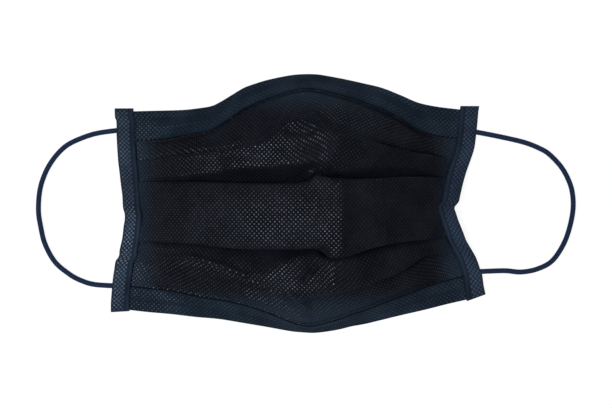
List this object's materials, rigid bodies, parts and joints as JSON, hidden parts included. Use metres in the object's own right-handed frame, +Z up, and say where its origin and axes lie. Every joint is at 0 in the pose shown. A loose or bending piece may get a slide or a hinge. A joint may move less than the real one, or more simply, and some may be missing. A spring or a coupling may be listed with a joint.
{
  "type": "medical face mask",
  "caption": "Pleated medical face mask lying face up, opened into a shallow dome, with nose and chin hems, side strips and round elastic ear loops.",
  "frame": {"origin": "on the surface, under the middle of the mask without its ear loops", "axes": "+X across the face, +Y from chin to nose, +Z up from the surface towards the outside of the mask"},
  "size_m": [0.253, 0.1205, 0.036],
  "materials": {
    "nonwoven": "point-bonded nonwoven",
    "hem": "point-bonded nonwoven, weld dots",
    "strip": "calendered nonwoven, weld dots",
    "wire": "satin",
    "elastic": "knitted elastic cord"
  },
  "bodies": {
    "root": {"pleated_body": "nonwoven", "nose_hem": "hem", "nose_wire": "wire", "chin_hem": "hem", "left_side_strip": "strip", "right_side_strip": "strip", "left_ear_loop": "elastic", "right_ear_loop": "elastic"}
  },
  "joints": []
}
